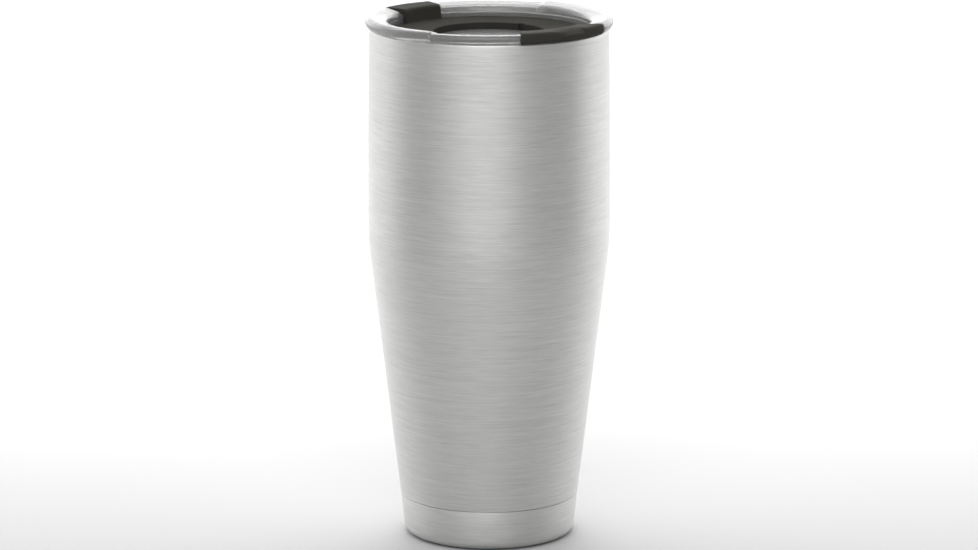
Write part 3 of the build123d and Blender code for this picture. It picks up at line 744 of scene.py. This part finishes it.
def build_hub():
    """Clear hub: disc in the well, flange under the deck, shaft with its O-ring groove and screw hole."""
    low = bottom_of("twist_hub")
    disc_r, under = WELL_R - HUB_GAP, WELL_Z - HUB_PLATE
    hub = turned("hub", rounded([
        (AXIS_R, WELL_Z, 0), (disc_r, WELL_Z, 0.4), (disc_r, under, 0), (HUB_FLANGE_R, under, 0.1),
        (HUB_FLANGE_R, DECK_SKIRT_Z, 0.2), (SHAFT_R, DECK_SKIRT_Z, 0.3),
        (SHAFT_R, SHAFT_GROOVE_TOP_Z, 0), (SHAFT_GROOVE_R, SHAFT_GROOVE_TOP_Z, 0),
        (SHAFT_GROOVE_R, SHAFT_GROOVE_LOW_Z, 0), (SHAFT_R, SHAFT_GROOVE_LOW_Z, 0), (SHAFT_R, low, 0.3),
        (SCREW_HOLE_R, low, 0), (SCREW_HOLE_R, low + SCREW_HOLE_DEPTH, 0),
        (AXIS_R, low + SCREW_HOLE_DEPTH, 0),
    ]))
    finish_piece(hub, CLEAR, "twist", "twist_hub")


def scoop_share(azimuth):
    """Depth of the dish at an azimuth: it starts gently on one side and ends in a ridge on the other."""
    across = (azimuth * radians(1) * TAB_R - SCOOP_SHIFT) / SCOOP_HALF
    if across < 0:
        return max(0.0, 1 - across * across) ** 1.5
    return max(0.0, min(1.0, (1 - across) / SCOOP_RIDGE))


def tab_section(azimuth, span, shape, scooped):
    """Section of a tab at an azimuth: hem, outside, top, inner wall, tongue and hollow."""
    centre, half = span
    fall, corner = shape
    end = max(0.0, degrees_inside(azimuth, centre - half, centre + half)) * radians(1) * TAB_R
    edge = min(1.0, end / END_ROUND)
    drop = END_DROP * (1 - sqrt(1 - (1 - edge) ** 2))
    outer_r, top_z = TAB_R - drop, TAB_TOP_Z - drop
    dish = scoop_share(azimuth) if scooped else 0.0
    in_reach = CORNER_REACH * corner * (1 - dish) + SCOOP_IN * dish
    down_reach = CORNER_REACH * corner * (1 - dish) + SCOOP_DOWN * dish
    slope = fall / (outer_r - TAB_WALL_TOP_R)
    hollow = crowned(TAB_HOLLOW, TAB_HOLLOW_START)
    return rounded([
        (TAB_HEM_R, TAB_HEM_Z, 0.3), (outer_r, TAB_HEM_Z + TAB_HEM_RISE, 0.8),
        (outer_r, top_z - down_reach, 0),
        (outer_r - SCOOP_IN / 2 * dish, top_z - SCOOP_DOWN / 2 * dish, corner),
        (outer_r - in_reach, top_z - slope * in_reach, 0),
        (TAB_WALL_TOP_R, top_z - fall, TAB_INNER_CORNER),
        (TAB_WALL_FOOT_R, DECK_Z, 0.8), (TAB_ROOT_R, DECK_Z - TAB_FOOT_SINK, 0),
        (TAB_ROOT_R, DECK_Z - TONGUE, 0), (DECK_R, DECK_Z - TONGUE, 0),
        (*crown_at(hollow, DECK_R), 0.3), *hollow[::-1],
    ])


def taper_ends(tab):
    """Narrow a tab that is centred on +X towards the deck."""
    for vertex in tab.data.vertices:
        x, y, z = vertex.co
        radius = sqrt(x * x + y * y)
        inwards = TAB_R - radius / MM
        angle = atan2(y, x) * (1 - END_TAPER * inwards / (TAB_R - TAB_WALL_FOOT_R))
        vertex.co = (radius * cos(angle), radius * sin(angle), z)


def build_tab(name, span, shape, scooped, node_name):
    """Tab over the rim; the drinking tab is dished and has tapered ends."""
    centre, half = span
    tab = swept(name, lambda azimuth: tab_section(azimuth, span, shape, scooped),
                centre - half, centre + half, 240)
    if scooped:
        taper_ends(tab)
    finish_piece(tab, SOFT_TAB, "twist", node_name)


build_rim()
build_deck()
build_hub()
build_tab("lip_tab", DRINK_TAB, DRINK_SHAPE, True, "drink_tab")
build_tab("grip_tab", THUMB_TAB, THUMB_SHAPE, False, "thumb_tab")


def build_spring():
    """Valve spring, with its ends lying flat, on a mesh of its own."""
    low, high = bottom_of("valve_spring"), top_of("valve_spring")
    verts, faces = [], []
    flat = SPRING_FLAT_TURNS / SPRING_TURNS
    for i in range(SPRING_STEPS + 1):
        share = i / SPRING_STEPS
        climb = min(1.0, max(0.0, (share - flat / 2) / (1 - flat)))
        a = 2 * pi * SPRING_TURNS * share
        z = low + SPRING_WIRE + (high - low - 2 * SPRING_WIRE) * climb
        for k in range(SPRING_SIDES):
            t = 2 * pi * k / SPRING_SIDES
            r = SPRING_R + SPRING_WIRE * cos(t)
            verts.append((r * cos(a), r * sin(a), z + SPRING_WIRE * sin(t)))
    for i in range(SPRING_STEPS):
        here, there = i * SPRING_SIDES, (i + 1) * SPRING_SIDES
        for k in range(SPRING_SIDES):
            j = (k + 1) % SPRING_SIDES
            faces.append((here + k, there + k, there + j, here + j))
    last = SPRING_STEPS * SPRING_SIDES
    faces += [tuple(range(SPRING_SIDES)), tuple(range(last, last + SPRING_SIDES))]
    spring = object_from("coil", verts, faces)
    finish_piece(spring, LINER_STEEL, "valve", "valve_spring")
    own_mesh(spring)


build_spring()


# --- CAD nodes that keep their shape --------------------------------------------------------------
KEPT = {
    "lid_base": CLEAR, "lid_floor": CLEAR, "lid_gasket": CLEAR_SILICONE,
    "deck_o_ring": CLEAR_SILICONE, "hub_o_ring": CLEAR_SILICONE,
    "drink_seal": CLEAR_SILICONE, "vent_seal": CLEAR_SILICONE, "valve_plate": VALVE,
    "hub_washer": LINER_STEEL, "hub_screw": LINER_STEEL, "vacuum_bottom": LINER_STEEL, "getter": GETTER,
    "radiation_foil": FOIL, "evacuation_seal": SEAL_GLASS,
}
for name, mat in KEPT.items():
    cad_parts[name].data.materials.clear()
    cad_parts[name].data.materials.append(mat)
